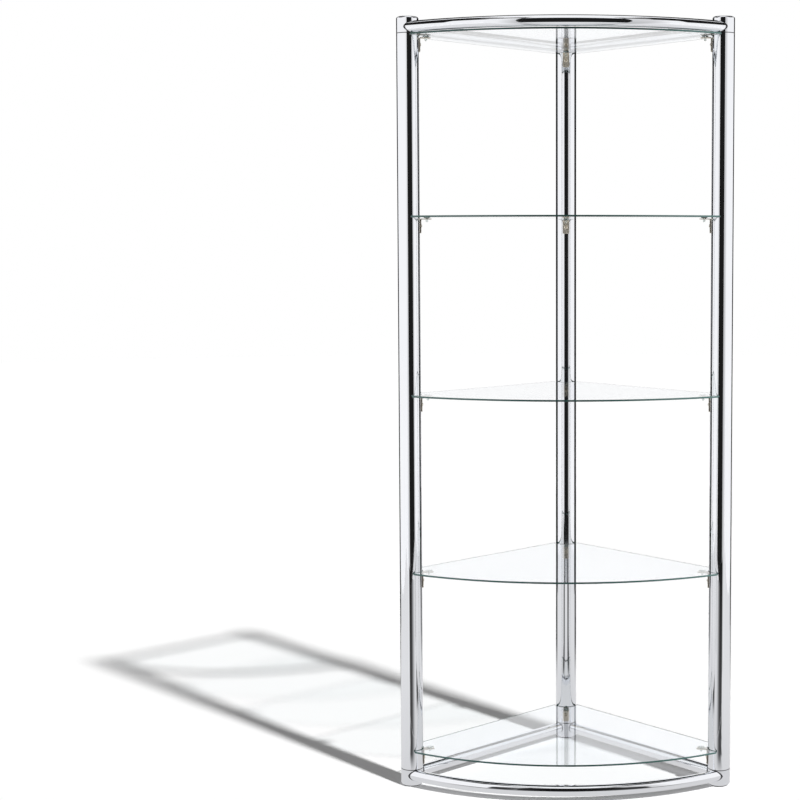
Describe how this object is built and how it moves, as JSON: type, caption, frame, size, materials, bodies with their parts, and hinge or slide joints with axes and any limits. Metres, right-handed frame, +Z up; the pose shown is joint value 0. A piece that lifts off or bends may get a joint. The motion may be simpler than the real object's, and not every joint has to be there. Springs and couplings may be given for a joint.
{
  "type": "glass display shelf",
  "caption": "Tall corner display shelf with glass tiers held by brackets on chromed tube posts, joined by curved and straight rails.",
  "frame": {"origin": "on the floor, under the middle of the shelf's outline in plan", "axes": "+Z up, -Y towards the viewer at the curved front, +X to the viewer's right"},
  "size_m": [0.758, 0.5146, 1.75],
  "materials": {
    "chrome_tube": "polished chrome plate on steel tube",
    "chrome_casting": "polished chrome plate on castings",
    "clear_glass": "clear tempered glass with polished green edges",
    "bracket_plate": "satin nickel plate",
    "clear_pad": "clear soft plastic",
    "glide_plastic": "moulded black plastic",
    "plain_steel": "zinc-plated steel",
    "plug_alloy": "plain light-alloy casting"
  },
  "bodies": {
    "root": {"post_left": "chrome_tube", "post_right": "chrome_tube", "post_rear": "chrome_tube", "collar_top_left": "chrome_casting", "collar_top_right": "chrome_casting", "collar_top_rear": "chrome_casting", "collar_bottom_left": "chrome_casting", "collar_bottom_right": "chrome_casting", "collar_bottom_rear": "chrome_casting", "top_cap_left": "chrome_casting", "top_cap_right": "chrome_casting", "top_cap_rear": "chrome_casting", "foot_glide_left": "glide_plastic", "foot_glide_right": "glide_plastic", "foot_glide_rear": "glide_plastic", "rail_top_curved": "chrome_tube", "rail_bottom_curved": "chrome_tube", "rail_top_left": "chrome_tube", "rail_top_right": "chrome_tube", "rail_bottom_left": "chrome_tube", "rail_bottom_right": "chrome_tube", "glass_shelf_top": "clear_glass", "glass_shelf_upper": "clear_glass", "glass_shelf_middle": "clear_glass", "glass_shelf_lower": "clear_glass", "glass_shelf_bottom": "clear_glass", "bracket_top_left": "bracket_plate", "bracket_top_right": "bracket_plate", "bracket_top_rear": "bracket_plate", "bracket_upper_left": "bracket_plate", "bracket_upper_right": "bracket_plate", "bracket_upper_rear": "bracket_plate", "bracket_middle_left": "bracket_plate", "bracket_middle_right": "bracket_plate", "bracket_middle_rear": "bracket_plate", "bracket_lower_left": "bracket_plate", "bracket_lower_right": "bracket_plate", "bracket_lower_rear": "bracket_plate", "bracket_bottom_left": "bracket_plate", "bracket_bottom_right": "bracket_plate", "bracket_bottom_rear": "bracket_plate", "suction_pads_top": "clear_pad", "suction_pads_upper": "clear_pad", "suction_pads_middle": "clear_pad", "suction_pads_lower": "clear_pad", "suction_pads_bottom": "clear_pad", "bracket_screws": "bracket_plate", "clamp_bolts": "plain_steel", "clamp_washers": "plain_steel", "post_plugs": "plain_steel", "rail_screws": "plain_steel", "rail_plugs": "plug_alloy"}
  },
  "joints": []
}
